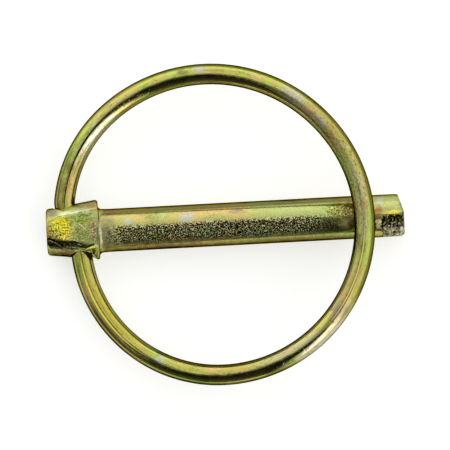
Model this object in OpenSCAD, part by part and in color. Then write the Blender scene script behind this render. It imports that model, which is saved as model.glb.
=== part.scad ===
// Linch pin: a round steel pin with a forged head, and a sprung wire ring hinged across the head.
// Lengths are millimetres and angles are degrees. X runs along the shank from the shoulder to the tip,
// Y runs across the shank in the plane of the ring, and Z points up from the surface the pin lies on.

/* [Shank] */
// Diameter of the shank
shank_d = 6; // [5:0.1:6.4]
// Length of the shank from the shoulder to the tip
shank_len = 42.4; // [40:0.1:60]
// Loss of radius over the lead-in, from just short of the ring to the tip
lead_in = 0.06; // [0.02:0.01:0.3]
// Radius of the fillet between the shoulder and the shank
neck_fillet = 0.45; // [0.2:0.05:0.6]

/* [Cropped tip] */
// Bevel around the edge of the tip
tip_bevel = 0.35; // [0.1:0.05:0.8]
// Slant of the cropped upper part of the tip
crop_slant = 17; // [5:1:25]
// Height above the axis where that slant begins
crop_rise = 0.5; // [0:0.1:1.5]
// Width of the bite that cropping left in the front of the tip
bite_w = 3; // [1.5:0.1:3.6]
// Depth of the bite
bite_depth = 0.6; // [0.2:0.05:0.9]
// Distance of the bite's middle from the tip
bite_back = 1.4; // [0.8:0.1:2.2]
// Turn of the bite about the axis, from straight up towards the ring's lower half
bite_turn = 32; // [0:1:60]

/* [Head] */
// Length of the head
head_len = 7.25; // [6.6:0.05:10]
// Diameter of the head's cone at its free end
head_end_d = 6.45; // [6:0.05:7.6]
// Diameter of the head's cone at the shoulder
head_rim_d = 8.5; // [7.8:0.05:10]
// Rounding of the edge at the free end
end_round = 0.45; // [0.2:0.05:0.8]
// Rounding of the edge at the shoulder
rim_round = 0.4; // [0.2:0.05:0.6]
// Sideways offset of the forged head from the shank's axis
head_offset = 0.18; // [0:0.02:0.4]
// Thickness between the front and back flats at the free end
flat_end_t = 6.05; // [5.4:0.05:6.4]
// Thickness between the front and back flats at the shoulder
flat_rim_t = 6.5; // [6.4:0.05:7.4]
// Lean of the front flat about the shank
front_lean = 6; // [0:1:10]

/* [Forging lap] */
// Distance of the lap below the head's middle at the free end
lap_start = 0.7; // [0.3:0.05:1.2]
// Slant of the lap towards the shoulder
lap_slant = 13; // [5:1:20]
// Length of the lap
lap_len = 6.1; // [4:0.1:6.5]
// Depth of the lap below the front flat
lap_depth = 0.5; // [0.2:0.05:0.7]
// Reach of the fold under the front flat's edge
lap_under = 0.2; // [0:0.05:0.4]
// Rise of the lap's floor over its width
lap_rise = 0.25; // [0:0.05:0.4]
// Width of the lap's floor
lap_w = 1; // [0.5:0.1:1.4]

/* [Hinge] */
// Distance from the shoulder back to the middle of the cross bore
bore_back = 3.55; // [3.2:0.05:4]
// Slant of the cross bore from square to the shank, which staggers its two mouths
bore_slant = 16.8; // [10:0.1:20]
// Clearance around the wire in the bore
bore_clear = 0.08; // [0.04:0.01:0.1]
// Flare of the bore's two mouths
mouth_flare = 13; // [10:1:20]
// Diameter of the scoop that opens the lower mouth towards the front
scoop_d = 3.7; // [3.2:0.1:4]
// Height of the scoop's middle above the bore's axis
scoop_rise = 1; // [0.5:0.1:1.2]
// Distance of the scoop's middle from the bore's axis towards the shoulder
scoop_side = 0.2; // [0:0.05:0.3]

/* [Ring] */
// Diameter of the ring's wire
wire_d = 2.9; // [2.4:0.05:3.1]
// Mean radius of the ring's far side above the shank
upper_r = 21.5; // [20:0.1:22.5]
// Mean radius of the ring's far side below the shank
lower_r = 20.7; // [19.5:0.1:21.5]
// Turn of the tighter arc between the head and the upper far side
shoulder_turn = 40; // [30:1:50]
// Turn of the upper far side
upper_turn = 102; // [90:1:110]
// Turn of the lower far side
lower_turn = 120; // [110:1:130]
// Bend where the upper end turns into the head
upper_bend = 26; // [20:1:30]
// Bend where the lower end turns into the head
lower_bend = 12; // [8:1:16]
// Radius of those two bends
bend_r = 3.5; // [2.6:0.1:4.5]
// Depth inside the head where those bends begin
bend_depth = 0.9; // [0.6:0.05:1.2]
// Gap between the two wire ends inside the head
end_gap = 1.2; // [0.4:0.1:2]
// Gap between the closed ring and the shank
ring_gap = 0.08; // [0.05:0.01:0.3]
// Length of plain shank left between the gripped stretch and the closed ring
grip_clear = 0.4; // [0.3:0.05:1]

/* [Hidden] */
$fn = 96;

plating = [0.70, 0.66, 0.33];
wire_plating = [0.66, 0.66, 0.30];

// Room by which a cutter runs past what it cuts
spare = 2;

// A short straight joins each length of the wire to the next. It closes over the trimmed ends of both,
// so it is a hair thicker than the wire.
straight_len = 0.3;
straight_trim = 0.05;
straight_over = 0.01;

shank_r = shank_d / 2;
tip_r = shank_r - lead_in;
wire_r = wire_d / 2;
bore_r = wire_r + bore_clear;

// Head cone: its half angle, and its radius where the bore crosses it
head_end_r = head_end_d / 2;
head_rim_r = head_rim_d / 2;
cone_angle = atan((head_rim_r - head_end_r) / head_len);
head_mid_r = head_rim_r - bore_back * tan(cone_angle);
flat_taper = atan((flat_rim_t - flat_end_t) / 2 / head_len);

// Bite: the radius of a ball that leaves a dish of this width and depth
bite_r = (bite_w * bite_w / 4 + bite_depth * bite_depth) / (2 * bite_depth);

// Where the wire's bends start, measured along the bore from its middle
bend_at = head_mid_r / cos(bore_slant) - bend_depth;
bore_reach = bend_at + bend_depth + spare;
mouth_r = bore_r + (bore_reach - bend_at) * tan(mouth_flare);

// The ring is a chain of arcs that starts and ends on the bore's axis. A heading is the direction of
// travel in the ring's own plane, where x points away from the bore's axis and y runs along it.
// The first and last arcs take the radii that close the chain.
last_turn = 360 + lower_bend - upper_bend - shoulder_turn - upper_turn - lower_turn;
heading_1 = 90 - upper_bend;
heading_2 = heading_1 - shoulder_turn;
heading_3 = heading_2 - upper_turn;
heading_4 = heading_3 - lower_turn;
heading_5 = heading_4 - last_turn;
function chord(heading, turn) =
    [sin(heading) - sin(heading - turn), cos(heading - turn) - cos(heading)];
chain_start = [0, bend_at];
chain_end = [0, -bend_at];
closing = chain_end - chain_start
    - bend_r * chord(90, upper_bend)
    - upper_r * chord(heading_2, upper_turn)
    - lower_r * chord(heading_3, lower_turn)
    + bend_r * chord(heading_5, -lower_bend);
first_chord = chord(heading_1, shoulder_turn);
last_chord = chord(heading_4, last_turn);
shoulder_r = cross(closing, last_chord) / cross(first_chord, last_chord);
last_r = cross(first_chord, closing) / cross(first_chord, last_chord);

// Each arc is a radius and a turn to the right; a negative pair turns to the left
arcs = [
    [bend_r, upper_bend],
    [shoulder_r, shoulder_turn],
    [upper_r, upper_turn],
    [lower_r, lower_turn],
    [last_r, last_turn],
    [-bend_r, -lower_bend]
];
function after(s, arc) =
    let (step = arc[0] * chord(s[2], arc[1]))
    [s[0] + step[0], s[1] + step[1], s[2] - arc[1]];
function state(i) = i == 0 ? [chain_start[0], chain_start[1], 90] : after(state(i - 1), arcs[i - 1]);
function centre(s, r) = [s[0] + r * sin(s[2]), s[1] - r * cos(s[2])];

// Where the lower far side crosses over the shank's axis, seen from above
lower_arc = 3;
lower_centre = centre(state(lower_arc), lower_r);
axis_fall = tan(bore_slant);
axis_drop = head_offset / cos(bore_slant);
cross_a = 1 + axis_fall * axis_fall;
cross_b = axis_fall * (axis_drop + lower_centre[1]) - lower_centre[0];
cross_c = lower_centre * lower_centre + axis_drop * (axis_drop + 2 * lower_centre[1]) - lower_r * lower_r;
cross_out = (sqrt(cross_b * cross_b - cross_a * cross_c) - cross_b) / cross_a;
cross_along = -axis_fall * cross_out - axis_drop;

// The closed ring leans up just far enough to lie across the front of the shank
ring_tilt = asin((shank_r + wire_r + ring_gap) / cross_out);
cross_x = cross_out * cos(ring_tilt) * cos(bore_slant) - cross_along * sin(bore_slant) - bore_back;
grip_len = cross_x - wire_r - grip_clear;

// Turns a profile of radius and height about the shank, with its height along X
module about_shank() {
    rotate([0, 90, 0])
        rotate_extrude()
            children();
}

// Places what is drawn with y along the cross bore and x towards the tip
module at_bore() {
    translate([-bore_back, head_offset, 0])
        rotate([0, 0, bore_slant])
            children();
}

// Shank with its neck fillet, lead-in and bevelled tip
module shank_blank() {
    root = head_len / 2;
    about_shank()
        difference() {
            polygon([
                [0, -root],
                [shank_r + neck_fillet, -root],
                [shank_r + neck_fillet, neck_fillet],
                [shank_r, neck_fillet],
                [shank_r, grip_len],
                [tip_r, shank_len - tip_bevel],
                [tip_r - tip_bevel, shank_len],
                [0, shank_len]
            ]);
            translate([shank_r + neck_fillet, neck_fillet])
                circle(neck_fillet);
        }
}

// Cone of the head, with both its edges rounded
module head_cone() {
    end_at = [head_end_r + end_round * (tan(cone_angle) - 1 / cos(cone_angle)), end_round - head_len];
    rim_at = [head_rim_r - rim_round * (tan(cone_angle) + 1 / cos(cone_angle)), -rim_round];
    outward = [cos(cone_angle), -sin(cone_angle)];
    translate([0, head_offset, 0])
        about_shank()
            union() {
                polygon([
                    [0, -head_len],
                    [end_at[0], -head_len],
                    end_at + end_round * outward,
                    rim_at + rim_round * outward,
                    [rim_at[0], 0],
                    [0, 0]
                ]);
                translate(end_at)
                    circle(end_round);
                translate(rim_at)
                    circle(rim_round);
            }
}

// What is cut away in front of a flat of the head that leans about the shank
module flat_cutter(lean) {
    translate([0, head_offset, 0])
        rotate([-lean, 0, 0])
            translate([-head_len, 0, flat_end_t / 2])
                rotate([0, -flat_taper, 0])
                    translate([-spare, -head_rim_d, 0])
                        cube([head_len + 2 * spare, 2 * head_rim_d, head_rim_d]);
}

// Fold that the forging left along the lower edge of the front flat
module lap_cutter() {
    face = flat_end_t / 2;
    translate([-head_len, head_offset - lap_start, 0])
        rotate([0, -flat_taper, -lap_slant])
            rotate([90, 0, 90])
                translate([0, 0, -spare])
                    linear_extrude(lap_len + spare)
                        polygon([
                            [0, face + spare],
                            [0, face],
                            [lap_under, face - lap_depth],
                            [-lap_w, face - lap_depth + lap_rise],
                            [-lap_w - spare, face + spare]
                        ]);
}

// Cross bore with its two flared mouths
module cross_bore() {
    at_bore()
        rotate([-90, 0, 0])
            rotate_extrude()
                polygon([
                    [0, -bore_reach],
                    [mouth_r, -bore_reach],
                    [bore_r, -bend_at],
                    [bore_r, bend_at],
                    [mouth_r, bore_reach],
                    [0, bore_reach]
                ]);
}

// Scoop round the front of the lower mouth, where the wire comes out of the head
module scoop_cutter() {
    at_bore()
        translate([scoop_side, -bend_at - bend_depth, scoop_rise])
            sphere(scoop_d / 2);
}

// Slanted upper part of the cropped tip
module crop_cutter() {
    translate([shank_len, crop_rise, -shank_d])
        rotate([0, 0, crop_slant])
            cube([shank_d, shank_d, 2 * shank_d]);
}

// Dish that cropping bit out of the front of the tip
module bite_cutter() {
    rotate([bite_turn, 0, 0])
        translate([shank_len - bite_back, 0, shank_r - bite_depth + bite_r])
            sphere(bite_r);
}

module forged_pin() {
    color(plating)
        difference() {
            union() {
                shank_blank();
                head_cone();
            }
            flat_cutter(front_lean);
            mirror([0, 0, 1])
                flat_cutter(0);
            lap_cutter();
            cross_bore();
            scoop_cutter();
            crop_cutter();
            bite_cutter();
        }
}

// One arc of the ring's wire, from a point and heading in the ring's plane
module wire_arc(s, r, turn) {
    trim = straight_trim / abs(r) * 180 / PI;
    first_angle = r > 0 ? s[2] + 90 - turn : s[2] - 90;
    translate(centre(s, r))
        rotate([0, 0, first_angle + trim])
            rotate_extrude(angle = abs(turn) - 2 * trim)
                translate([abs(r), 0])
                    circle(wire_r);
}

// Short straight between two lengths of the wire
module wire_straight(s) {
    translate([s[0], s[1], 0])
        rotate([0, 90, s[2]])
            cylinder(h = straight_len, r = wire_r + straight_over, center = true);
}

// Straight end of the wire inside the bore
module wire_end() {
    translate([0, end_gap / 2, 0])
        rotate([-90, 0, 0])
            cylinder(h = bend_at - straight_trim - end_gap / 2, r = wire_r);
}

module spring_ring() {
    color(wire_plating)
        at_bore()
            rotate([0, -ring_tilt, 0]) {
                wire_end();
                for (i = [0 : len(arcs) - 1])
                    wire_arc(state(i), arcs[i][0], arcs[i][1]);
                for (i = [0 : len(arcs)])
                    wire_straight(state(i));
                mirror([0, 1, 0])
                    wire_end();
            }
}

forged_pin();
spring_ring();
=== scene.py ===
import math

import bmesh
import bpy
import numpy as np
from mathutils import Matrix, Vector, noise


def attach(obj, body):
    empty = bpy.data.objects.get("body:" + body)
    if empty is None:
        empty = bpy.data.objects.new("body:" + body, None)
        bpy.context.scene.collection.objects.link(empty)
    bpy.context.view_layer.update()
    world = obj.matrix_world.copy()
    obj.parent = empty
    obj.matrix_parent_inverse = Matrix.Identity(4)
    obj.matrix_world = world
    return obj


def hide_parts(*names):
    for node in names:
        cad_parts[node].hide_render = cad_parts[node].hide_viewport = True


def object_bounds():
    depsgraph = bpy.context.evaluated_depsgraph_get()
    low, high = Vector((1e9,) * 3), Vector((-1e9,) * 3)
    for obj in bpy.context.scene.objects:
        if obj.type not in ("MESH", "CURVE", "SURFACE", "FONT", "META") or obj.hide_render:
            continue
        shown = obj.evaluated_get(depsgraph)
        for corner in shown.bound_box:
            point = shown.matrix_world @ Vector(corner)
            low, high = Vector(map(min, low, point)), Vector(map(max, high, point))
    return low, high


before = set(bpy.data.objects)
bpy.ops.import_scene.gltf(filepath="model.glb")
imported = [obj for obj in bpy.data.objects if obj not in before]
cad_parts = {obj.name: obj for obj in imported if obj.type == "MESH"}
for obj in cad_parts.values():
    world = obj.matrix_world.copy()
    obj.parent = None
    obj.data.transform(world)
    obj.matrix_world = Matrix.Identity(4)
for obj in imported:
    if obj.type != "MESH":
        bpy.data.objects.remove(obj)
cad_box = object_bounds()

# Lengths are millimetres until a mesh is made, and MM turns them into metres
MM = 0.001
# Points of a mesh that lie closer than this become one
MERGE = 0.002
# Edges that turn by more degrees than this are shaded sharp
PIN_SHARP, RING_SHARP = 40, 50

# Shank and cropped tip
SHANK_R = 3.0
SHANK_LEN = 42.4
GRIP_LEN = 35.03
TIP_START = 38.0
TIP_R = 2.94
TIP_BEVEL = 0.35
NECK_FILLET = 0.45
# The forging swells a little towards the neck
NECK_SWELL, SWELL_LEN = 0.1, 1.5
CROP_SLANT = math.radians(17)
CROP_RISE = 0.5
# Share of the bevel that the crop takes off
BEVEL_LOSS = 0.85
# Bite out of the tip: where it starts, and how steeply it falls from there. In its middle, between soft
# limits in y, a chip starts further back and falls less steeply
BITE_START, BITE_FALL = 39.25, 0.9
CHIP_Y = ((-1.9, -1.6), (-0.6, -0.3))
CHIP_LEN, CHIP_FALL = 0.85, 0.3
# Torn facets of the bite: turned from +Z towards -Y in degrees, distance from the axis, and roughness
BITE_FACETS = ((20, 2.76, 0.07), (58, 2.68, 0.42))

# Head
HEAD_LEN = 7.25
HEAD_OFFSET = 0.18
HEAD_END_R = 3.225
HEAD_RIM_R = 4.25
CONE_ANGLE = math.atan((HEAD_RIM_R - HEAD_END_R) / HEAD_LEN)
END_ROUND = 0.45
RIM_ROUND = 0.4
FLAT_END = 3.025
FLAT_RIM = 3.25
# The flats are cut up to this far along the shank, and where they face up or down by at least this sine
FLAT_STOP, FLAT_FACING = 1.0, 0.2
FRONT_LEAN = math.radians(6)
CREASE_ROUND = 0.22
# Forging leaves the head uneven: depth, waves and grain of its side, and waves of its end
SIDE_DEPTH, SIDE_WAVES, SIDE_GRAIN = 0.03, 0.03, 0.012
END_WAVES = 0.02

# Fold that the forging left on the front: its edge, and where its floor comes up again, as x and y
LAP_EDGE = ((-7.4, -6.7, -5.8, -4.6, -3.4, -2.6, -1.75), (-0.55, -0.69, -1.15, -1.22, -1.2, -1.55, -2.07))
LAP_FOOT = ((-7.4, -6.6, -3.9, -2.2, -1.7), (-1.75, -1.8, -2.1, -2.33, -2.36))
LAP_FLOOR, LAP_FALL = 2.98, 0.25
# Where the fold starts to fade and is gone, and how ragged its edge and its floor are
LAP_FADE = (-2.4, -1.75)
LAP_RAGGED, LAP_UNEVEN = 0.07, 0.08
# Crack under the fold's edge: share of the way to the foot, width as such a share, and depth
CRACK_AT, CRACK_WIDTH, CRACK_DEPTH = 0.12, 0.1, 0.45
# Burrs in the fold: ridges along straight lines, with their width and height
LAP_BURRS = (
    (((-6.95, -0.95), (-6.3, -1.15)), 0.1, 0.5),
    (((-6.2, -1.2), (-5.8, -1.45)), 0.08, 0.45),
    (((-3.0, -1.6), (-2.5, -1.85)), 0.08, 0.4),
)
# Flash beside the shoulder, below the fold, and the gap above it: line, width and height
FLASH_GAP = ((-2.2, -2.32), (-0.65, -1.84))
FLASHES = (
    (((-2.0, -2.5), (-0.3, -2.12)), 0.16, 0.25),
    (FLASH_GAP, 0.09, -0.4),
)
# Dent beside the lower mouth of the bore
DENT, DENT_R, DENT_DEPTH = (-0.85, -2.9), 0.28, 0.3
# Crease above the front flat, as x and y, and a scratch across that flat
CREASE = ((-7.4, -6.6, -5.4, -3.4, -0.4), (1.3, 1.7, 2.28, 2.58, 3.0))
SCRATCH = ((-2.75, 1.2), (-1.65, 0.15))

# Cross bore and ring
BORE_BACK = 3.55
BORE_SLANT = math.radians(16.8)
BORE_R = 1.53
MOUTH_FLARE = math.radians(13)
DRILL_REACH = 7.0
SCOOP_R = 1.85
SCOOP_RISE = 1.0
SCOOP_SIDE = 0.2
WIRE_R = 1.448
BEND_R = 3.5
BEND_DEPTH = 0.9
END_GAP = 1.2
UPPER_R, LOWER_R = 21.5, 20.7
UPPER_BEND, LOWER_BEND = 26, 12
SHOULDER_TURN, UPPER_TURN, LOWER_TURN = 40, 102, 120
# Lean of the closed ring, as the solids have it
RING_TILT = math.radians(6.68834)

# Rows of points along the pin, and the radius of the first and last row
END_ROWS, ROUND_ROWS, CONE_ROWS, SHOULDER_ROWS = 22, 9, 104, 6
FILLET_ROWS, SWELL_ROWS, GRIP_ROWS = 8, 10, 44
LEAD_ROWS, TIP_ROWS, BEVEL_ROWS = 8, 62, 5
FIRST_ROW_R, LAST_ROW_R = 0.15, 0.12
# Points round the pin: fine between these two angles on its front, and coarse elsewhere
FINE_TURN = (math.radians(38), math.radians(152))
FINE_STEPS, COARSE_STEPS = 170, 88
# Points round the bore, round the scoop and round the wire
BORE_STEPS, SCOOP_STEPS, WIRE_STEPS = 96, 64, 72
# Rows of points on the scoop and how near its poles they start, rows on each straight end of the wire, fewest
# rows on an arc of it, and the distance between rows on its long arcs
SCOOP_ROWS, SCOOP_POLE = 40, 0.05
STRAIGHT_ROWS, LEAST_ROWS, WIRE_STEP = 8, 6, 0.4

# The photograph's frame: the shank's slope in it, its middle in the part's frame, and the width it shows
PHOTO_ROLL = math.radians(3.05)
PHOTO_MIDDLE = (17.53, -0.11)
PHOTO_WIDTH = 62.55
LENS = 600
SENSOR = 36


# Shapes in general

def smooth_step(low, high, value):
    t = np.clip((value - low) / (high - low), 0, 1)
    return t * t * (3 - 2 * t)


def soft_band(rise, fall, value):
    """1 between two soft limits, and 0 outside them."""
    return smooth_step(*rise, value) * (1 - smooth_step(*fall, value))


def hill(distance, width):
    """1 where the distance is 0, falling smoothly to nothing over a few widths."""
    return np.exp(-(distance / width) ** 2)


def soft_min(a, b, k):
    h = np.clip(0.5 + (b - a) / (2 * k), 0, 1)
    return b + (a - b) * h - k * h * (1 - h)


def lumps(points, scale, shift=0.0):
    """Smooth noise from about -1 to 1 at each point, with lumps of about 1 / scale across."""
    flat = points.reshape(-1, 3)
    values = [noise.noise(Vector(p) * scale + Vector((shift, shift, shift))) for p in flat]
    return np.array(values).reshape(points.shape[:-1])


def forged_grain(points):
    """Coarse and fine lumps together, as forged steel has them."""
    return lumps(points, 2.6) + 0.6 * lumps(points, 6.0, 7.0)


def splinters(points):
    """Sharp-edged noise from about 0 to 1, as torn metal has it."""
    return 1 - 1.6 * np.abs(lumps(points, 1.6, 5.0)) - 0.5 * np.abs(lumps(points, 4.0, 9.0))


def mesh_object(name, points, faces):
    """An object from points and faces, with close points merged and all faces turned outwards."""
    shape = bmesh.new()
    corners = [shape.verts.new(p) for p in points * MM]
    for face in faces:
        shape.faces.new([corners[i] for i in face])
    bmesh.ops.remove_doubles(shape, verts=shape.verts, dist=MERGE * MM)
    bmesh.ops.recalc_face_normals(shape, faces=shape.faces)
    mesh = bpy.data.meshes.new(name)
    shape.to_mesh(mesh)
    shape.free()
    piece = bpy.data.objects.new(name, mesh)
    bpy.context.scene.collection.objects.link(piece)
    return piece


def tube_faces(rows, around):
    """Quads between rows of points that run round a tube, and a fan at each end to the last two points."""
    faces = []
    for i in range(rows - 1):
        for j in range(around):
            k = (j + 1) % around
            faces.append((i * around + j, i * around + k, (i + 1) * around + k, (i + 1) * around + j))
    first, last = rows * around, rows * around + 1
    for j in range(around):
        k = (j + 1) % around
        faces.append((first, k, j))
        faces.append((last, (rows - 1) * around + j, (rows - 1) * around + k))
    return faces


def keep_values(piece, name, kind, field, values):
    """Keeps a value or a vector at each point of a piece, for its material."""
    data = piece.data.attributes.new(name, kind, "POINT").data
    data.foreach_set(field, values.astype(np.float32).ravel())


def smooth_shading(piece, sharp):
    piece.data.shade_smooth()
    piece.data.set_sharp_from_angle(angle=math.radians(sharp))


# The forged pin

def arc(centre, r, first, last, steps):
    turns = np.linspace(first, last, steps)
    return [(centre[0] + r * math.cos(a), centre[1] + r * math.sin(a)) for a in turns]


def lead_in(x):
    """Radius of the shank beyond its grip, where it narrows towards the tip."""
    return SHANK_R + (TIP_R - SHANK_R) * (x - GRIP_LEN) / (SHANK_LEN - TIP_BEVEL - GRIP_LEN)


def pin_profile():
    """Rows of (x, radius, y of the row's axis) from the middle of the head's end to the middle of the tip."""
    slope = math.tan(CONE_ANGLE)
    end_r = HEAD_END_R + END_ROUND * (slope - 1 / math.cos(CONE_ANGLE))
    rim_r = HEAD_RIM_R - RIM_ROUND * (slope + 1 / math.cos(CONE_ANGLE))
    square = math.pi / 2
    head = [(-HEAD_LEN, r) for r in np.linspace(FIRST_ROW_R, end_r, END_ROWS)[:-1]]
    head += arc((END_ROUND - HEAD_LEN, end_r), END_ROUND, math.pi, square + CONE_ANGLE, ROUND_ROWS)
    rim = arc((-RIM_ROUND, rim_r), RIM_ROUND, square + CONE_ANGLE, 0, ROUND_ROWS)
    start, stop = np.array(head[-1]), np.array(rim[0])
    head += [tuple(start + (stop - start) * t) for t in np.linspace(0, 1, CONE_ROWS)[1:-1]]
    head += rim
    shoulder = [(0, r) for r in np.linspace(rim_r, SHANK_R + NECK_FILLET, SHOULDER_ROWS)[1:-1]]
    shank = arc((NECK_FILLET, SHANK_R + NECK_FILLET), NECK_FILLET, math.pi, 1.5 * math.pi, FILLET_ROWS)
    shank += [(x, SHANK_R) for x in np.linspace(NECK_FILLET, SWELL_LEN, SWELL_ROWS)[1:]]
    shank += [(x, SHANK_R) for x in np.linspace(SWELL_LEN, GRIP_LEN, GRIP_ROWS)[1:]]
    shank = [(x, r + NECK_SWELL * max(1 - x / SWELL_LEN, 0) ** 2) for x, r in shank]
    shank += [(x, lead_in(x)) for x in np.linspace(GRIP_LEN, TIP_START, LEAD_ROWS)[1:]]
    tip = [(x, lead_in(x)) for x in np.linspace(TIP_START, SHANK_LEN - TIP_BEVEL, TIP_ROWS)[1:]]
    for t in np.linspace(1, 0, BEVEL_ROWS)[1:]:
        tip.append((SHANK_LEN - TIP_BEVEL * t, TIP_R - TIP_BEVEL * (1 - t)))
    tip += [(SHANK_LEN, r) for r in np.linspace(TIP_R - TIP_BEVEL, LAST_ROW_R, END_ROWS)[1:]]
    # The axis moves from the head's to the shank's over the shoulder
    moved = np.linspace(0.2, 1, len(shoulder))
    rows = [(x, r, HEAD_OFFSET) for x, r in head]
    rows += [(x, r, HEAD_OFFSET * (1 - t)) for t, (x, r) in zip(moved, shoulder)]
    rows += [(x, r, 0) for x, r in shank + tip]
    return np.array(rows)


def pin_turns():
    """Angles round the shank from +Y towards +Z, close together over the front."""
    first, last = FINE_TURN
    fine = np.linspace(first, last, FINE_STEPS, endpoint=False)
    coarse = np.linspace(last, first + 2 * math.pi, COARSE_STEPS, endpoint=False)
    return np.concatenate([fine, coarse])


def pin_points(x, r, axis, turn):
    return np.stack([x, axis + r * np.cos(turn), r * np.sin(turn)], axis=-1)


def cut_flats(x, r, turn):
    """Radius after the two flats of the head, with soft creases."""
    height = FLAT_END + (x + HEAD_LEN) * (FLAT_RIM - FLAT_END) / HEAD_LEN
    for facing in (np.sin(turn + FRONT_LEAN), -np.sin(turn)):
        flat = height / np.maximum(facing, FLAT_FACING)
        r = np.where((x < FLAT_STOP) & (facing > FLAT_FACING), soft_min(r, flat, CREASE_ROUND), r)
    return r


def crop_tip(x, r, turn):
    """Places along the tip and radii after its slanted crop, which takes most of the bevel with it."""
    keep = 1 - BEVEL_LOSS * smooth_step(0.2, 0.9, np.cos(turn))
    inner = TIP_R - TIP_BEVEL
    r = np.where(x > SHANK_LEN - TIP_BEVEL, TIP_R - (TIP_R - r) * np.where(r > inner, keep, 1), r)
    r = np.where((x >= SHANK_LEN) & (r <= inner), r * (TIP_R - TIP_BEVEL * keep) / inner, r)
    crop = SHANK_LEN - np.maximum(r * np.cos(turn) - CROP_RISE, 0) * math.tan(CROP_SLANT)
    moved = TIP_START + (x - TIP_START) * (crop - TIP_START) / (SHANK_LEN - TIP_START)
    return np.where(x > TIP_START, moved, x), r


def on_front(x, z):
    """Whether a place is on the front of the head."""
    return (z > 1.5) & (x < 0)


def lap_share(x, y):
    """Share of the way from the fold's edge to its foot, and how much of the fold is left before it fades."""
    edge, foot = np.interp(x, *LAP_EDGE), np.interp(x, *LAP_FOOT)
    return (edge - y) / np.maximum(edge - foot, 0.05), 1 - smooth_step(*LAP_FADE, x)


def line_share(x, y, line, width):
    """How much of a ridge or groove along a straight line is felt at each place."""
    (x0, y0), (x1, y1) = line
    length = math.hypot(x1 - x0, y1 - y0)
    t = ((x - x0) * (x1 - x0) + (y - y0) * (y1 - y0)) / length ** 2
    away = np.abs((x - x0) * (y1 - y0) - (y - y0) * (x1 - x0)) / length
    return soft_band((-0.05, 0.15), (0.85, 1.05), t) * hill(away, width)


def cut_lap(place, r, turn, rough):
    """Radius after the fold on the front of the head, its flash, the gap above that and the dent."""
    x, y, z = np.moveaxis(place, -1, 0)
    t, fade = lap_share(x, y + LAP_RAGGED * rough)
    level = LAP_FLOOR - LAP_FALL * np.clip(t, 0, 1) + LAP_UNEVEN * rough
    level = level - CRACK_DEPTH * hill(t - CRACK_AT, CRACK_WIDTH)
    for line, width, height in LAP_BURRS:
        level = level + height * line_share(x, y, line, width)
    floor = level / np.maximum(np.sin(turn), 0.3)
    inside = soft_band((0, 0.08), (0.9, 1.15), t) * fade
    cut = r - inside * np.maximum(r - floor, 0)
    for line, width, height in FLASHES:
        cut = cut + height * line_share(x, y, line, width)
    cut = cut - DENT_DEPTH * hill(np.hypot(x - DENT[0], y - DENT[1]), DENT_R)
    return np.where(on_front(x, z), cut, r)


def cut_bite(place, r, turn, rough):
    """Radius after the two rough facets that cropping tore out of the front of the tip."""
    x, y = place[..., 0], place[..., 1]
    chip = soft_band(*CHIP_Y, y)
    start = BITE_START - CHIP_LEN * chip + 0.15 * rough
    ramp = SHANK_R - np.maximum(x - start, 0) * (BITE_FALL + (CHIP_FALL - BITE_FALL) * chip)
    torn = splinters(place) - 0.5
    for turned, near, tear in BITE_FACETS:
        # A facet counts only within 60 degrees of the way it faces
        toward = np.cos(turn - math.pi / 2 - math.radians(turned))
        facet = np.where(toward > 0.5, near / np.maximum(toward, 0.5), 3 * SHANK_R) + tear * torn
        r = np.where(x > start, np.minimum(r, np.maximum(facet, ramp)), r)
    return r


def head_marks(place, rough):
    """How much painted shade each point of the head's front gets in its fold, gap, dent and crease, how much
    it was torn, and how much scratched bright.
    """
    x, y, z = place.T
    t, fade = lap_share(x, y + LAP_RAGGED * rough)
    burr = sum(line_share(x, y, line, 1.2 * width) for line, width, height in LAP_BURRS)
    crack = 1 - smooth_step(0.2, 0.45, t + 0.15 * rough)
    floor = (0.94 - 0.25 * smooth_step(0.3, 0.7, rough)) * (1 - smooth_step(0.85, 1.1, t + 0.2 * rough))
    foot = hill(t - 1.0, 0.15) * smooth_step(0.2, 0.5, rough)
    lap = smooth_step(-0.05, 0.05, t) * np.maximum.reduce([crack, floor, foot]) * fade
    lap = lap * np.clip(1 - 1.5 * burr, 0, 1)
    gap = line_share(x, y, FLASH_GAP, 0.12)
    dent = hill(np.hypot(x - DENT[0], y - DENT[1]), 0.3)
    crease = hill(y - np.interp(x, *CREASE), 0.07) * smooth_step(-7.3, -6.5, x)
    crease = crease * np.clip(0.55 + 0.5 * rough, 0, 0.9)
    # Painted shade in the fold, the gap above the flash, the dent and the crease
    crevice_shade = np.maximum.reduce([lap, gap, dent, crease])
    torn = np.clip(burr, 0, 1) * fade
    scratch = line_share(x, y, SCRATCH, 0.06)
    return [np.where(on_front(x, z), values, 0) for values in (crevice_shade, torn, scratch)]


def tip_marks(place, rough):
    """How much painted shade each point of the bite gets in its hollows, on its upper facet and along its
    root, and how much it was torn.
    """
    x, y, z = place.T
    along = x - BITE_START
    depth = SHANK_R - np.hypot(y, z)
    sharp = splinters(place)
    tip_shade = 0.9 * smooth_step(0.15, 0.4, depth) * (1 - smooth_step(0.35, 0.6, sharp))
    # The upper facet gets black painted shade but for its sharpest splinters
    upper = smooth_step(-1.9, -1.5, y + 0.25 * rough) * (1 - smooth_step(0.3, 0.5, y))
    upper = upper * smooth_step(-0.25, 0.25, along) * smooth_step(0.03, 0.1, depth)
    upper = upper * (0.95 - (0.35 + 0.3 * smooth_step(-0.5, -1.1, y)) * smooth_step(0.6, 0.8, sharp))
    # A dark line of painted shade runs along the start of the lower facet
    root = 0.8 * hill(along - 0.1 - 0.2 * rough, 0.28) * soft_band((-2.5, -2.1), (-0.9, -0.6), y)
    torn = smooth_step(0.06, 0.14, depth) * (0.2 + 0.8 * smooth_step(0.05, 0.55, along))
    torn = torn * (1 - 0.7 * smooth_step(-1.4, -0.9, y)) * (y < 0.4)
    bite = (along > -0.95) & (z > 0)
    return [np.where(bite, values, 0) for values in (np.maximum.reduce([tip_shade, upper, root]), torn)]


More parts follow.
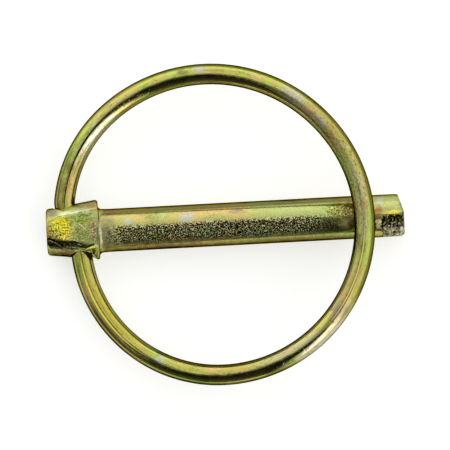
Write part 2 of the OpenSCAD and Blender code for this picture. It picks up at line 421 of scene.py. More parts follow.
def mark_surface(piece):
    """Keeps at each point how much painted shade it gets in the head's folds, the bite's hollows and the
    scoop, how much it was torn, and how much scratched bright.
    """
    points = np.zeros(len(piece.data.vertices) * 3)
    piece.data.vertices.foreach_get("co", points)
    place = points.reshape(-1, 3) / MM
    rough = forged_grain(place)
    crevice_shade, torn, scratch = head_marks(place, rough)
    tip_shade, chipped = tip_marks(place, rough)
    # Painted shade inside the scoop at the bore's lower mouth
    scoop = np.linalg.norm(place - at_bore(scoop_middle()[None, :]), axis=1)
    scoop = 0.75 * (1 - smooth_step(SCOOP_R + 0.01, SCOOP_R + 0.12, scoop))
    keep_values(piece, "crevice_shade", "FLOAT", "value", np.maximum.reduce([crevice_shade, tip_shade, scoop]))
    keep_values(piece, "torn", "FLOAT", "value", np.maximum(torn, chipped))
    keep_values(piece, "scratch", "FLOAT", "value", scratch)


def forged_pin():
    rows, turns = pin_profile(), pin_turns()
    x, turn = np.meshgrid(rows[:, 0], turns, indexing="ij")
    r = np.repeat(rows[:, 1:2], len(turns), axis=1)
    axis = np.repeat(rows[:, 2:3], len(turns), axis=1)
    r = cut_flats(x, r, turn)
    x, r = crop_tip(x, r, turn)
    place = pin_points(x, r, axis, turn)
    rough = forged_grain(place)
    r = cut_lap(place, r, turn, rough)
    r = cut_bite(place, r, turn, rough)
    # Forging leaves the head uneven, always inside the true surface
    waves = lumps(place, 0.55, 3.0)
    head = 1 - smooth_step(-0.4, 0.2, x)
    side = smooth_step(0.5, 2.0, r)
    r = r - side * head * (SIDE_DEPTH + SIDE_WAVES * waves + SIDE_GRAIN * rough)
    x = x + (1 - side) * head * END_WAVES * (1 + waves)
    points = pin_points(x, r, axis, turn).reshape(-1, 3)
    ends = np.array([[END_WAVES - HEAD_LEN, HEAD_OFFSET, 0], [SHANK_LEN, 0, 0]])
    piece = mesh_object("pin_forging", np.vstack([points, ends]), tube_faces(len(rows), len(turns)))
    drill(piece)
    mark_surface(piece)
    smooth_shading(piece, PIN_SHARP)
    return piece


def cut_away(piece, points, faces):
    """Takes a closed shape, drawn about the bore, out of a piece."""
    cutter = mesh_object("cutter", at_bore(points), faces)
    cut = piece.modifiers.new("cut", "BOOLEAN")
    cut.operation = "DIFFERENCE"
    cut.object = cutter
    cut.solver = "MANIFOLD"
    bpy.context.view_layer.update()
    done = bpy.data.meshes.new_from_object(piece.evaluated_get(bpy.context.evaluated_depsgraph_get()))
    done.materials.clear()
    done.polygons.foreach_set("material_index", [0] * len(done.polygons))
    piece.modifiers.clear()
    piece.data = done
    bpy.data.objects.remove(cutter)


def turned_shape(outline, steps):
    """Points and faces of an outline of places along the bore and radii, turned about the bore."""
    points = []
    for along, r in outline:
        for a in np.linspace(0, 2 * math.pi, steps, endpoint=False):
            points.append((r * math.cos(a), along, r * math.sin(a)))
    points += [(0, outline[0][0], 0), (0, outline[-1][0], 0)]
    return np.array(points), tube_faces(len(outline), steps)


def scoop_middle():
    return np.array([SCOOP_SIDE, -bend_start() - BEND_DEPTH, SCOOP_RISE])


def drill(piece):
    """Cuts the slanted cross bore with its two flared mouths, and the scoop at the lower one."""
    start = bend_start()
    mouth = BORE_R + (DRILL_REACH - start) * math.tan(MOUTH_FLARE)
    bore = [(-DRILL_REACH, mouth), (-start, BORE_R), (start, BORE_R), (DRILL_REACH, mouth)]
    cut_away(piece, *turned_shape(bore, BORE_STEPS))
    ball = arc((0, 0), SCOOP_R, math.pi - SCOOP_POLE, SCOOP_POLE, SCOOP_ROWS)
    points, faces = turned_shape(ball, SCOOP_STEPS)
    cut_away(piece, points + scoop_middle(), faces)


# The spring ring

def bend_start():
    """Distance along the bore from its middle to where the wire starts to bend."""
    return (HEAD_RIM_R - BORE_BACK * math.tan(CONE_ANGLE)) / math.cos(BORE_SLANT) - BEND_DEPTH


def at_bore(points):
    """Points drawn about the bore, with y along it, moved to the head."""
    c, s = math.cos(BORE_SLANT), math.sin(BORE_SLANT)
    x, y, z = points.T
    return np.stack([c * x - s * y - BORE_BACK, s * x + c * y + HEAD_OFFSET, z], axis=1)


def tilted(points):
    """Points in the ring's own plane, leaned up about the bore as the closed ring leans."""
    c, s = math.cos(RING_TILT), math.sin(RING_TILT)
    x, y, z = points.T
    return np.stack([c * x - s * z, y, s * x + c * z], axis=1)


def chord(heading, turn):
    """Step along an arc of radius 1 that starts at a heading and turns to the right, in degrees."""
    a, b = math.radians(heading), math.radians(heading - turn)
    return np.array([math.sin(a) - math.sin(b), math.cos(b) - math.cos(a)])


def ring_arcs():
    """Radius and turn of each arc of the wire. The first and last long arcs take the radii that close it."""
    last_turn = 360 + LOWER_BEND - UPPER_BEND - SHOULDER_TURN - UPPER_TURN - LOWER_TURN
    turns = [UPPER_BEND, SHOULDER_TURN, UPPER_TURN, LOWER_TURN, last_turn]
    headings = 90 - np.cumsum([0] + turns)
    gap = np.array([0, -2 * bend_start()])
    gap = gap - BEND_R * chord(90, UPPER_BEND) + BEND_R * chord(headings[5], -LOWER_BEND)
    gap = gap - UPPER_R * chord(headings[2], UPPER_TURN) - LOWER_R * chord(headings[3], LOWER_TURN)
    ends = np.stack([chord(headings[1], SHOULDER_TURN), chord(headings[4], last_turn)], axis=1)
    shoulder_r, last_r = np.linalg.solve(ends, gap)
    radii = [BEND_R, shoulder_r, UPPER_R, LOWER_R, last_r]
    return list(zip(radii, turns)) + [(-BEND_R, -LOWER_BEND)]


def wire_line():
    """Points, headings and distances along the middle of the wire, in the ring's own plane."""
    start = bend_start()
    line = [(0, y, 90.0) for y in np.linspace(END_GAP / 2, start, STRAIGHT_ROWS)]
    for r, turn in ring_arcs():
        x, y, heading = line[-1]
        count = max(LEAST_ROWS, int(abs(r * math.radians(turn)) / WIRE_STEP))
        for t in np.linspace(0, turn, count)[1:]:
            dx, dy = r * chord(heading, t)
            line.append((x + dx, y + dy, heading - t))
    line += [(0, y, 90.0 - 360) for y in np.linspace(-start, -END_GAP / 2, STRAIGHT_ROWS)[1:]]
    line = np.array(line)
    gone = np.hypot(*np.diff(line[:, :2], axis=0).T)
    return line[:, :2], np.radians(line[:, 2]), np.concatenate([[0], np.cumsum(gone)])


def spring_ring():
    middle, heading, along = wire_line()
    around = np.linspace(0, 2 * math.pi, WIRE_STEPS, endpoint=False)
    across, lift = np.cos(around) * WIRE_R, np.sin(around) * WIRE_R
    out = np.stack([-np.sin(heading), np.cos(heading)], axis=1)
    flat = middle[:, None, :] + across[None, :, None] * out[:, None, :]
    lifted = np.broadcast_to(lift, flat.shape[:2])
    points = np.concatenate([flat, lifted[..., None]], axis=2).reshape(-1, 3)
    ends = np.array([[0, END_GAP / 2, 0], [0, -END_GAP / 2, 0]])
    points = np.vstack([points, ends])
    piece = mesh_object("ring_wire", at_bore(tilted(points)), tube_faces(len(middle), len(around)))
    # Each point's place across the wire, out of the ring's plane and along the wire
    place = np.zeros((len(points), 3))
    place[:-2, 0] = np.tile(across, len(middle))
    place[:-2, 1] = np.tile(lift, len(middle))
    place[:-2, 2] = np.repeat(along, len(around))
    place[-1, 2] = along[-1]
    keep_values(piece, "wire_place", "FLOAT_VECTOR", "vector", place)
    smooth_shading(piece, RING_SHARP)
    return piece


# Materials

class Graph:
    """A node tree that is built by calls, most of which return an output socket."""

    def __init__(self, owner):
        owner.use_nodes = True
        self.tree = owner.node_tree
        self.tree.nodes.clear()

    def put(self, kind, inputs, **settings):
        made = self.tree.nodes.new(kind)
        for name, value in settings.items():
            setattr(made, name, value)
        for key, value in inputs.items():
            if isinstance(value, bpy.types.NodeSocket):
                self.tree.links.new(value, made.inputs[key])
            else:
                made.inputs[key].default_value = value
        return made

    def math(self, operation, a, b=0.0):
        return self.put("ShaderNodeMath", {0: a, 1: b}, operation=operation).outputs[0]

    def product(self, first, *others):
        for other in others:
            first = self.math("MULTIPLY", first, other)
        return first

    def total(self, first, *others):
        for other in others:
            first = self.math("ADD", first, other)
        return first

    def vector(self, operation, *inputs):
        made = self.put("ShaderNodeVectorMath", dict(enumerate(inputs)), operation=operation)
        return made.outputs["Value" if operation in ("LENGTH", "DOT_PRODUCT") else "Vector"]

    def parts(self, vector):
        return self.put("ShaderNodeSeparateXYZ", {0: vector}).outputs

    def noise(self, vector, squeeze, scale, detail, rough):
        squeezed = self.vector("MULTIPLY", vector, squeeze)
        inputs = {"Vector": squeezed, "Scale": scale, "Detail": detail, "Roughness": rough}
        return self.put("ShaderNodeTexNoise", inputs).outputs["Fac"]

    def between(self, value, low, high, to_low=0.0, to_high=1.0):
        inputs = {"Value": value, "From Min": low, "From Max": high, "To Min": to_low, "To Max": to_high}
        return self.put("ShaderNodeMapRange", inputs, interpolation_type="SMOOTHSTEP").outputs[0]

    def band(self, value, rise, fall):
        """1 between two soft limits, and 0 outside them."""
        return self.product(self.between(value, *rise), self.between(value, *fall))

    def mix(self, share, a, b):
        return self.put("ShaderNodeMix", {0: share, 6: a, 7: b}, data_type="RGBA").outputs[2]

    def ramp(self, value, stops):
        made = self.put("ShaderNodeValToRGB", {"Fac": value})
        elements = made.color_ramp.elements
        while len(elements) < len(stops):
            elements.new(1.0)
        for element, (place, shade) in zip(elements, stops):
            element.position = place
            element.color = shade
        return made.outputs["Color"]


def colour(red, green, blue):
    """A colour as linear values, from the 0 to 255 values of a screen."""
    return tuple(((v / 255 + 0.055) / 1.055) ** 2.4 for v in (red, green, blue)) + (1.0,)


# Colours of yellow chromate as they turn with its thickness, of what shows where it is gone, and of painted
# light
GOLD = colour(184, 174, 106)
STRAW = colour(194, 186, 110)
LIME = colour(180, 194, 120)
# Colour of a painted highlight on the head's cone
PALE_HIGHLIGHT = colour(242, 250, 186)
LEMON = colour(250, 238, 92)
AMBER = colour(250, 236, 40)
GREEN = colour(128, 158, 54)
OLIVE = colour(132, 128, 70)
SAGE = colour(134, 144, 80)
PEACH = colour(212, 178, 114)
RUST = colour(158, 112, 56)
MAUVE = colour(158, 144, 114)
UMBER = colour(112, 98, 68)
DUSK = colour(92, 82, 60)
SILVER = colour(188, 194, 178)
CREAM = colour(232, 226, 200)
SPARK = colour(234, 234, 180)
STEEL = colour(190, 184, 160)
PEWTER = colour(204, 198, 142)
SAND = colour(200, 184, 138)
ASH = colour(150, 145, 100)
# Near black, for dark marks and for painted shade
SOOT_AND_SHADE = colour(30, 26, 12)
# The wire's plating is a little deeper
HONEY = colour(190, 178, 92)
YOLK = colour(186, 174, 62)
OCHRE = colour(174, 165, 78)
BLUSH = colour(192, 180, 142)
ROSE_HIGHLIGHT = colour(212, 196, 174)
# Colour of a painted highlight on the wire's outer side
COPPER = colour(198, 142, 78)
TAN = colour(194, 154, 82)
# Colour of a painted highlight along the wire's crest
APRICOT = colour(250, 224, 136)
MOSS = colour(178, 194, 92)
# Painted shade for the wire's flanks
FLANK_SHADE = colour(96, 98, 22)
# Tint of the platings' mirror at a grazing angle
GRAZING = (0.03, 0.03, 0.01, 1.0)

# Colours by the value of a noise: the platings as a whole, the rubbed shoulder and torn steel
PIN_TINTS = ((0.3, OLIVE), (0.42, LIME), (0.5, GOLD), (0.58, STRAW), (0.66, PEACH), (0.74, MAUVE))
RING_TINTS = ((0.3, OLIVE), (0.42, MOSS), (0.5, HONEY), (0.58, STRAW), (0.66, PEACH), (0.74, MAUVE))
RUBBED_TINTS = ((0.42, RUST), (0.5, DUSK), (0.6, CREAM))
TORN_TINTS = ((0.42, OLIVE), (0.5, STEEL), (0.58, CREAM))

# Patches on the pin: middle, reach along x, y and z, and colour
PIN_PATCHES = (
    ((5.0, 1.6, 2.5), (5.0, 2.5, 2.0), STRAW),
    ((27.0, 1.6, 2.5), (8.0, 2.5, 2.0), LIME),
    ((4.1, 1.1, 2.8), (0.7, 0.6, 1.0), SILVER),
    ((12.3, 1.2, 2.8), (1.4, 0.9, 1.2), SILVER),
    ((5.8, 1.5, 2.6), (1.2, 0.6, 1.0), PEACH),
    ((15.8, 1.9, 2.3), (2.6, 0.6, 0.8), PEACH),
    # The next two patches, beside the ring where it crosses the shank, are a painted shadow of the ring
    ((33.9, 0.9, 2.8), (2.4, 2.6, 2.0), OLIVE),
    ((34.9, 0.6, 2.8), (0.9, 2.8, 2.0), UMBER),
    ((17.0, 0.1, 3.0), (19.0, 0.5, 0.6), UMBER),
    ((9.0, -2.6, 1.0), (9.0, 1.0, 1.8), UMBER),
    ((27.0, -2.6, 1.0), (12.0, 0.9, 1.6), OLIVE),
    ((-5.2, 1.0, 3.2), (2.1, 2.3, 1.0), AMBER),
    ((-6.3, -0.1, 3.1), (1.0, 0.8, 0.8), OLIVE),
    ((-7.0, 0.1, 3.1), (0.6, 1.8, 1.0), RUST),
    ((-2.4, 1.9, 3.3), (1.9, 1.6, 0.8), GREEN),
    ((-2.4, -0.4, 3.3), (1.9, 1.5, 0.8), SAGE),
    ((-1.4, 3.5, 2.0), (1.9, 1.1, 1.7), SAND),
    # A painted highlight on the +Y side of the head's cone
    ((-4.2, 3.1, 2.4), (3.2, 1.1, 1.7), PALE_HIGHLIGHT),
    ((-6.4, 2.8, 2.4), (1.3, 1.0, 1.4), MAUVE),
    ((-5.0, -2.9, 2.0), (3.2, 0.9, 2.0), DUSK),
    ((-1.1, -2.32, 3.0), (1.2, 0.35, 0.8), LEMON),
    ((-0.3, -2.1, 3.0), (0.3, 0.25, 0.6), CREAM),
    ((40.6, 1.9, 2.2), (1.5, 1.3, 1.4), LIME),
    ((39.2, 2.2, 2.0), (0.6, 1.3, 1.2), SILVER),
    ((38.8, 0.6, 2.8), (0.8, 1.2, 1.0), RUST),
    ((38.8, -1.3, 2.5), (0.8, 0.8, 1.0), UMBER),
    ((40.7, 0.42, 2.9), (1.7, 0.38, 0.6), LEMON),
    ((42.1, 1.45, 2.3), (0.45, 0.7, 1.2), MAUVE),
    ((1.2, 0.2, 2.6), (1.5, 3.2, 2.2), ASH),
    ((-0.15, -0.6, 3.1), (0.25, 2.2, 1.3), UMBER),
    # A painted highlight along the fillet of the neck
    ((0.2, -0.9, 2.7), (0.24, 2.0, 1.5), CREAM),
)
# Patches on the ring: place across the wire, out of its plane and along it, reach and colour
RING_PATCHES = (
    # A painted highlight on the wire's inner side
    ((-1.0, 1.0, 14.0), (1.4, 1.4, 7.0), CREAM),
    ((-0.8, 1.1, 7.0), (0.9, 1.0, 5.0), PEACH),
    ((0.8, 1.1, 5.0), (1.0, 1.0, 4.5), OLIVE),
    ((0.8, 1.1, 53.0), (0.7, 0.9, 9.0), OCHRE),
    ((0.8, 1.0, 32.0), (1.0, 1.0, 1.1), SILVER),
    ((0.3, 1.3, 45.5), (1.3, 1.2, 2.5), STEEL),
    ((0.0, 1.4, 50.5), (0.8, 0.8, 1.3), STEEL),
    ((-0.5, 1.3, 53.0), (0.7, 0.7, 1.3), COPPER),
    ((0.0, 1.4, 62.0), (0.8, 0.8, 8.0), PEWTER),
    ((-0.8, 1.2, 60.0), (0.6, 0.8, 4.0), MOSS),
    # A painted highlight on the wire's outer side
    ((0.9, 1.0, 83.5), (1.5, 1.5, 6.5), ROSE_HIGHLIGHT),
    ((-0.7, 1.2, 89.0), (0.9, 1.0, 7.0), BLUSH),
    ((0.0, 1.3, 79.0), (1.6, 1.6, 1.6), MAUVE),
    ((-0.7, 1.1, 99.0), (1.0, 1.0, 9.0), OCHRE),
    ((-0.8, 1.0, 100.0), (0.8, 0.9, 1.6), PEACH),
    ((-0.4, 1.3, 107.5), (0.7, 0.7, 0.9), SILVER),
    ((-0.6, 1.2, 118.0), (1.0, 1.0, 9.0), YOLK),
    ((-1.0, 1.0, 64.0), (0.5, 0.7, 1.6), TAN),
    ((0.5, 1.3, 63.8), (0.35, 0.6, 1.2), TAN),
    ((0.9, 1.1, 67.0), (0.5, 0.7, 5.0), MOSS),
    # Dark lines along the wire's crest: painted reflections of the dark room overhead
    ((-0.08, 1.43, 14.5), (0.13, 0.5, 9.0), SOOT_AND_SHADE),
    ((-0.12, 1.43, 31.0), (0.24, 0.5, 12.0), DUSK),
    ((0.0, 1.43, 93.0), (0.3, 0.6, 9.0), DUSK),
    ((0.2, 1.42, 106.0), (0.3, 0.6, 10.0), DUSK),
)
# Dull lines painted along the crest of the wire as painted highlights: middle, reach and colour
CREST_HIGHLIGHTS = (
    ((0.04, 1.44, 119.0), (0.19, 0.4, 12.0), LEMON),
    ((0.08, 1.44, 74.5), (0.15, 0.4, 11.0), APRICOT),
)
# Dotted corner and front of the head and dotted end of the grip: middle, reach and strength
DOTTED = (
    ((-5.5, 0.2, 3.1), (2.6, 1.9, 1.1), 1.0),
    ((-3.2, 0.0, 3.2), (4.4, 3.2, 1.4), 0.5),
    ((33.6, 1.0, 2.7), (3.0, 1.8, 1.4), 0.9),
)
# Places on the pin that are rubbed rough: middle, reach and added roughness
ROUGHENED = (
    ((-2.2, 3.4, 2.4), (3.6, 1.4, 1.8), 0.3),
    ((0.0, -0.6, 2.5), (4.4, 3.4, 2.2), 0.3),
    ((34.4, 0.0, 2.8), (1.6, 3.0, 2.0), 0.2),
)
# Bright chips of the torn tip: middle and reach
TIP_CHIPS = (
    ((40.25, -1.45, 2.3), (0.2, 0.2, 0.8)),
    ((40.4, -2.35, 1.6), (0.3, 0.6, 0.9)),
    ((42.0, -2.1, 1.8), (0.4, 0.8, 1.1)),
)
# Rubbed edge of the shoulder, streaked cone of the head, rubbed far side of the ring, and the stretch of the
# wire that gets no painted shade on its outer flank: middle and reach
RUBBED_SHOULDER = ((-0.65, 0.2, 3.4), (0.5, 2.2, 0.8))
STREAKED_CONE = ((-3.0, 3.0, 2.4), (5.0, 1.3, 2.0))
RUBBED_WIRE = ((0.0, 1.4, 57.0), (1.7, 1.7, 18.0))
UNSHADED_WIRE = ((1.2, 0.7, 82.5), (3.0, 3.0, 8.0))

# Soft limits, as where a mark comes in and where it goes out: the shank's flanks, which get painted shade,
# its upper flank, where that painted shade is darkest, and its pitted front
FLANK_Z, FLANK_X = ((0.2, 0.9), (2.1, 1.8)), ((0.3, 1.0), (38.5, 37.5))
UPPER_Z, UPPER_X = ((1.4, 1.8), (2.15, 1.9)), ((0.3, 1.0), (38.0, 36.0))
PITTED_X, PITTED_Y = ((-0.4, 3.0), (33.0, 29.0)), ((-2.4, -1.3), (0.85, 0.2))
# The same out of the ring's plane, for painted shade on the wire's outer flank, low on the ring, and its
# inner flank
OUTER_FLANK = ((0.1, 0.5), (1.05, 0.85))
LOW_FLANK = ((0.1, 0.5), (1.15, 0.95))
INNER_FLANK = ((0.1, 0.5), (0.97, 0.77))
# Along the wire: where the low painted shade starts, where the inner one gets paler, and where that is near
# black
LOW_ALONG, PALER_ALONG = (92.0, 102.0), (100.0, 112.0)
BLACK_SHADE_ALONG = ((24.0, 34.0), (122.0, 106.0))

# Noise that the platings are made of: how much each way is squeezed, then scale, detail and roughness
EVEN = (1.0, 1.0, 1.0)
PIN_CLOUDS, PIN_WOBBLE = ((0.5, 1.0, 1.0), 0.35, 3.0, 0.55), (EVEN, 1.3, 3.0, 0.6)
PIN_SPECKLE, PIN_GRAIN = (EVEN, 4.2, 2.0, 0.6), (EVEN, 5.6, 1.0, 0.5)
PIN_DOTS, CONE_STREAKS = (EVEN, 5.0, 1.0, 0.5), ((0.12, 1.0, 1.0), 3.4, 2.0, 0.6)
RING_CLOUDS, RING_WOBBLE = ((0.5, 0.5, 0.35), 0.5, 3.0, 0.6), (EVEN, 1.1, 3.0, 0.6)
WIRE_STREAKS, WIRE_GRAIN = ((1.0, 1.0, 0.06), 2.8, 3.0, 0.6), ((1.0, 1.0, 0.7), 4.4, 2.0, 0.55)
WIRE_PITS, WIRE_LINES = ((1.0, 1.0, 0.5), 3.4, 2.0, 0.55), ((1.0, 1.0, 0.03), 3.6, 2.0, 0.5)
# Values of a noise between which marks come in: pits, their slope, bare spots that are also painted glints,
# streaks and dots of the pin
PITS, PIT_SLOPE, SPOTS = (0.492, 0.537), (0.5, 0.63), (0.43, 0.375)
STREAKS, BLACK_DOTS, YELLOW_DOTS = (0.54, 0.66), (0.52, 0.6), (0.45, 0.37)
# The same on the wire: brownish and olive streaks, black and pale specks, pits and drawn lines
BROWN_STREAKS, OLIVE_STREAKS = (0.54, 0.7), (0.46, 0.32)
BLACK_SPECKS, PALE_SPECKS = (0.57, 0.65), (0.44, 0.34)
WIRE_PITTED, WIRE_DRAWN = (0.56, 0.68), (0.3, 0.7)
# Least and most roughness of the platings where nothing has rubbed them, and the wobble that they come with
PIN_ROUGH, RING_ROUGH, ROUGH_WOBBLE = (0.08, 0.14), (0.05, 0.1), (0.3, 0.7)
# Depth of the pits and height of the drawn lines
PIN_PIT_DEPTH, WIRE_PIT_DEPTH, WIRE_LINE_HEIGHT = 0.012, 0.006, 0.006


def patch_distance(g, place, middle, reach):
    """Distance of a place from the middle of a patch, as a share of its reach."""
    return g.vector("LENGTH", g.vector("DIVIDE", g.vector("SUBTRACT", place, middle), reach))


def near_patch(g, place, middle, reach):
    """How close a place is to the middle of a patch, from 1 near it to 0 at its reach."""
    return g.between(patch_distance(g, place, middle, reach), 0.4, 1.0, 1.0, 0.0)


def patched(g, place, tint, patches, wobble):
    """Lays soft and uneven patches of colour over a tint."""
    uneven = g.between(wobble, 0.25, 0.75, -0.35, 0.35)
    for middle, reach, shade in patches:
        far = g.total(patch_distance(g, place, middle, reach), uneven)
        tint = g.mix(g.between(far, 0.2, 1.15, 0.85, 0.0), tint, shade)
    return tint


def mark(g, name):
    """What mark_surface kept under a name."""
    return g.put("ShaderNodeAttribute", {}, attribute_name=name).outputs["Fac"]


def object_place(g):
    """Place on the pin in millimetres."""
    coords = g.put("ShaderNodeTexCoord", {}).outputs["Object"]
    return g.vector("MULTIPLY", coords, (1 / MM, 1 / MM, 1 / MM))


def wire_place(g):
    """Place across the wire, out of the ring's plane and along the wire."""
    return g.put("ShaderNodeAttribute", {}, attribute_name="wire_place").outputs["Vector"]


def plating(name, build):
    """Worn yellow chromate on steel. The build call gives its tint, its height in millimetres, its roughness
    and how much of it shines as metal."""
    material = bpy.data.materials.new(name)
    g = Graph(material)
    tint, height, rough, shine = build(g)
    bump = g.put("ShaderNodeBump", {"Height": height, "Distance": MM, "Strength": 1.0}).outputs[0]
    shader = g.put("ShaderNodeBsdfPrincipled", {
        "Base Color": tint,
        "Metallic": shine,
        "Roughness": rough,
        "Specular Tint": GRAZING,
        "Normal": bump,
    })
    g.put("ShaderNodeOutputMaterial", {"Surface": shader.outputs[0]})
    return material


def shaded_shank(g, place, tint):
    """Painted shade on the shank's flanks, darkest on the upper one."""
    x, y, z = g.parts(place)
    tint = g.mix(g.product(g.band(z, *FLANK_Z), g.band(x, *FLANK_X), 0.5), tint, UMBER)
    upper = g.product(g.band(z, *UPPER_Z), g.band(x, *UPPER_X), g.between(y, 0.0, 1.0))
    return g.mix(g.product(upper, 0.6), tint, UMBER)


def bared(g, place, torn, tint):
    """The shoulder's edge is rubbed to a mixture of bare and brown spots, and torn places show the steel."""
    speckle = g.noise(place, *PIN_SPECKLE)
    rubbed = near_patch(g, place, *RUBBED_SHOULDER)
    tint = g.mix(g.product(rubbed, 0.95), tint, g.ramp(speckle, RUBBED_TINTS))
    return g.mix(torn, tint, g.ramp(speckle, TORN_TINTS))


def streaked_and_dotted(g, place, tint):
    """The head's cone is streaked, and its front and the grip's end are dotted black and yellow."""
    streaks = g.between(g.noise(place, *CONE_STREAKS), *STREAKS)
    tint = g.mix(g.product(streaks, near_patch(g, place, *STREAKED_CONE), 0.35), tint, UMBER)
    dotted = 0.0
    for middle, reach, strength in DOTTED:
        dotted = g.math("MAXIMUM", dotted, g.product(near_patch(g, place, middle, reach), strength))
    dots = g.noise(place, *PIN_DOTS)
    tint = g.mix(g.product(g.between(dots, *BLACK_DOTS), dotted, 0.8), tint, SOOT_AND_SHADE)
    return g.mix(g.product(g.between(dots, *YELLOW_DOTS), dotted, 0.5), tint, LEMON)


def pin_plating(g):
    place = object_place(g)
    wobble = g.noise(place, *PIN_WOBBLE)
    tint = g.ramp(g.noise(place, *PIN_CLOUDS), PIN_TINTS)
    tint = patched(g, place, tint, PIN_PATCHES, wobble)
    tint = shaded_shank(g, place, tint)
    torn = mark(g, "torn")
    tint = bared(g, place, torn, tint)
    # The front of the shank is pitted: black pits, partly painted dark reflection, and bare bright spots,
    # partly painted glints
    x, y, z = g.parts(place)
    pitted = g.product(g.band(x, *PITTED_X), g.band(y, *PITTED_Y), g.between(z, 1.0, 1.5))
    grain = g.noise(place, *PIN_GRAIN)
    pits = g.product(g.between(grain, *PITS), g.total(pitted, 0.18))
    spots = g.product(g.between(grain, *SPOTS), pitted)
    tint = g.mix(g.product(pits, 0.9), tint, SOOT_AND_SHADE)
    tint = g.mix(g.product(spots, 0.7), tint, SPARK)
    shine = g.between(spots, 0.0, 1.0, 1.0, 0.5)
    height = g.product(g.between(grain, *PIT_SLOPE), g.total(pitted, 0.25), -PIN_PIT_DEPTH)
    tint = streaked_and_dotted(g, place, tint)
    tint = g.mix(g.product(mark(g, "scratch"), 0.9), tint, CREAM)
    # Painted shade in the head's fold, gap, dent and crease, in the bite and in the scoop
    tint = g.mix(mark(g, "crevice_shade"), tint, SOOT_AND_SHADE)
    for middle, reach in TIP_CHIPS:
        chip = near_patch(g, place, middle, reach)
        tint = g.mix(g.product(chip, 0.9), tint, CREAM)
        shine = g.product(shine, g.between(chip, 0.0, 1.0, 1.0, 0.4))
    rough = g.between(wobble, *ROUGH_WOBBLE, *PIN_ROUGH)
    rough = g.total(rough, g.product(spots, 0.15), g.product(torn, 0.25))
    for middle, reach, added in ROUGHENED:
        rough = g.total(rough, g.product(near_patch(g, place, middle, reach), added))
    return tint, height, rough, shine


def shaded_wire(g, place, tint):
    """Painted shade on the wire's flanks: olive, and near black inside the ring and low on its outside."""
    across, out_of_plane, along = g.parts(place)
    outside, inside = g.between(across, -0.2, 0.9), g.between(across, -0.2, -0.9)
    gets_shade = g.math("SUBTRACT", 1.0, near_patch(g, place, *UNSHADED_WIRE))
    outer = g.product(g.band(out_of_plane, *OUTER_FLANK), outside, gets_shade)
    tint = g.mix(g.product(outer, 0.9), tint, FLANK_SHADE)
    low = g.product(g.band(out_of_plane, *LOW_FLANK), outside, g.between(along, *LOW_ALONG))
    tint = g.mix(g.product(low, 0.45), tint, SOOT_AND_SHADE)
    inner = g.product(g.band(out_of_plane, *INNER_FLANK), inside)
    tint = g.mix(g.product(inner, g.between(along, *PALER_ALONG, 0.7, 0.3)), tint, FLANK_SHADE)
    return g.mix(g.product(inner, g.band(along, *BLACK_SHADE_ALONG), 0.6), tint, SOOT_AND_SHADE)


def ring_plating(g):
    place = wire_place(g)
    wobble = g.noise(place, *RING_WOBBLE)
    tint = g.ramp(g.noise(place, *RING_CLOUDS), RING_TINTS)
    tint = patched(g, place, tint, RING_PATCHES, wobble)
    tint = shaded_wire(g, place, tint)
    streaks = g.noise(place, *WIRE_STREAKS)
    tint = g.mix(g.between(streaks, *BROWN_STREAKS, 0.0, 0.45), tint, MAUVE)
    tint = g.mix(g.between(streaks, *OLIVE_STREAKS, 0.0, 0.6), tint, OLIVE)
    # The far side is rubbed and speckled
    rubbed = near_patch(g, place, *RUBBED_WIRE)
    grain = g.noise(place, *WIRE_GRAIN)
    tint = g.mix(g.product(g.between(grain, *BLACK_SPECKS), rubbed, 0.6), tint, SOOT_AND_SHADE)
    tint = g.mix(g.product(g.between(grain, *PALE_SPECKS), rubbed, 0.4), tint, CREAM)
    pits = g.between(g.noise(place, *WIRE_PITS), *WIRE_PITTED)
    tint = g.mix(g.product(pits, 0.3), tint, SOOT_AND_SHADE)
    shine = 1.0
    # Painted highlights along the crest, less metallic than the plating
    for middle, reach, shade in CREST_HIGHLIGHTS:
        line = near_patch(g, place, middle, reach)
        tint = g.mix(g.product(line, 0.9), tint, shade)
        shine = g.math("SUBTRACT", shine, g.product(line, 0.85))
    rough = g.total(g.between(wobble, *ROUGH_WOBBLE, *RING_ROUGH), g.product(rubbed, 0.25))
    drawn = g.between(g.noise(place, *WIRE_LINES), *WIRE_DRAWN)
    height = g.total(g.product(pits, -WIRE_PIT_DEPTH), g.product(drawn, WIRE_LINE_HEIGHT))
    return tint, height, rough, shine


# Stage

FLOOR_SIZE = 6.0
FLOOR_GLOW = 0.6
FLOOR_TONE = 0.6
# Brightness of the room: pairs of the angle from straight up in degrees and the brightness there
ROOM = ((0, 0.45), (8, 0.38), (16, 0.45), (24, 0.75), (60, 0.95), (74, 0.85), (85, 0.4))
# Sectors that lie over it, each over the ones before: compass middle from +X and half width in degrees, then
# pairs as for the room
SECTORS = (
    (-166, 14, ((0, 0.45), (8, 0.42), (18, 0.5), (45, 0.55), (62, 0.5), (74, 0.4), (88, 0.25))),
    (-143, 13, ((0, 0.3), (8, 0.1), (26, 0.14), (34, 0.42), (45, 0.42), (58, 0.15), (72, 0.06), (88, 0.15))),
    (-1, 49, ((0, 0.5), (6, 0.6), (12, 0.8), (30, 0.92), (55, 1.2), (70, 1.0), (85, 0.45))),
    (86, 66, ((0, 0.06), (8, 0.08), (11, 1.4), (15, 1.0), (30, 1.05), (60, 1.4), (80, 1.5), (90, 1.0))),
    (36, 18, ((0, 0.5), (8, 0.6), (12, 0.95), (30, 0.9), (60, 1.2), (80, 1.3), (90, 0.6))),
    (-60, 11, ((0, 0.1), (8, 0.2), (18, 1.1), (35, 1.8), (58, 2.1), (72, 1.4), (85, 0.6))),
    (-106, 28, ((0, 0.02), (50, 0.03), (62, 0.06), (75, 0.1), (88, 0.2))),
)
# Half the width in degrees over which a sector's edge fades
SECTOR_BLUR = 4


def grey(level):
    return (level, level, level, 1.0)


def room_shade(g, from_up, stops):
    return g.ramp(from_up, [(angle / 180, grey(bright)) for angle, bright in stops])


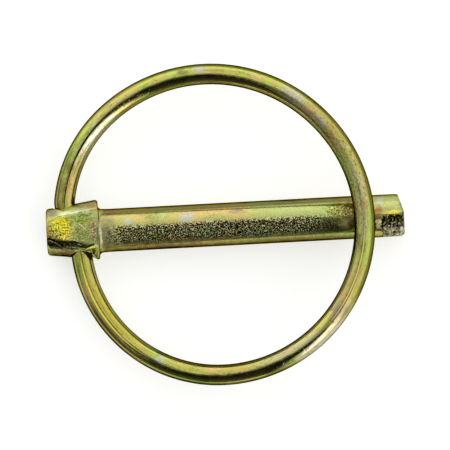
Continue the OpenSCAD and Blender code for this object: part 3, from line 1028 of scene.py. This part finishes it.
def build_world():
    world = bpy.data.worlds.new("room")
    bpy.context.scene.world = world
    g = Graph(world)
    ray = g.put("ShaderNodeTexCoord", {}).outputs["Generated"]
    from_up = g.math("DIVIDE", g.math("ARCCOSINE", g.parts(ray)["Z"]), math.pi)
    level_ray = g.vector("NORMALIZE", g.vector("MULTIPLY", ray, (1, 1, 0)))
    light = room_shade(g, from_up, ROOM)
    for middle, half, stops in SECTORS:
        compass = math.radians(middle)
        cosine = g.vector("DOT_PRODUCT", level_ray, (math.cos(compass), math.sin(compass), 0))
        edge = [math.cos(math.radians(half + side * SECTOR_BLUR)) for side in (1, -1)]
        light = g.mix(g.between(cosine, *edge), light, room_shade(g, from_up, stops))
    room = g.put("ShaderNodeBackground", {"Color": light, "Strength": 1.0})
    g.put("ShaderNodeOutputWorld", {"Surface": room.outputs[0]})


def floor_material():
    """Pale paper that shows white to the camera and in reflections, and keeps the part's shadow."""
    material = bpy.data.materials.new("floor_paper")
    g = Graph(material)
    rays = g.put("ShaderNodeLightPath", {}).outputs
    seen = rays["Is Camera Ray"]
    for kind in ("Is Glossy Ray", "Is Transmission Ray"):
        seen = g.math("MAXIMUM", seen, rays[kind])
    paper = g.put("ShaderNodeBsdfDiffuse", {"Color": grey(FLOOR_TONE)})
    glow = g.put("ShaderNodeEmission", {"Strength": g.product(seen, FLOOR_GLOW)})
    both = g.put("ShaderNodeAddShader", {0: paper.outputs[0], 1: glow.outputs[0]})
    g.put("ShaderNodeOutputMaterial", {"Surface": both.outputs[0]})
    return material


def build_floor():
    bpy.ops.mesh.primitive_plane_add(size=FLOOR_SIZE, location=(0, 0, cad_box[0].z))
    floor = bpy.context.object
    floor.name = "floor"
    floor.data.materials.append(floor_material())


def build_camera():
    data = bpy.data.cameras.new("camera")
    data.lens = LENS
    data.sensor_width = SENSOR
    camera = bpy.data.objects.new("camera", data)
    camera.location = (PHOTO_MIDDLE[0] * MM, PHOTO_MIDDLE[1] * MM, PHOTO_WIDTH * MM * LENS / SENSOR)
    camera.rotation_euler = (0, 0, -PHOTO_ROLL)
    bpy.context.scene.collection.objects.link(camera)
    bpy.context.scene.camera = camera


build_camera()
build_world()
build_floor()
bpy.context.scene.view_settings.view_transform = "Standard"

pin = forged_pin()
pin.data.materials.append(plating("pin_plating", pin_plating))
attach(pin, "pin")
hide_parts("forged_pin")

ring = spring_ring()
ring.data.materials.append(plating("ring_plating", ring_plating))
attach(ring, "ring")
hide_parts("spring_ring")
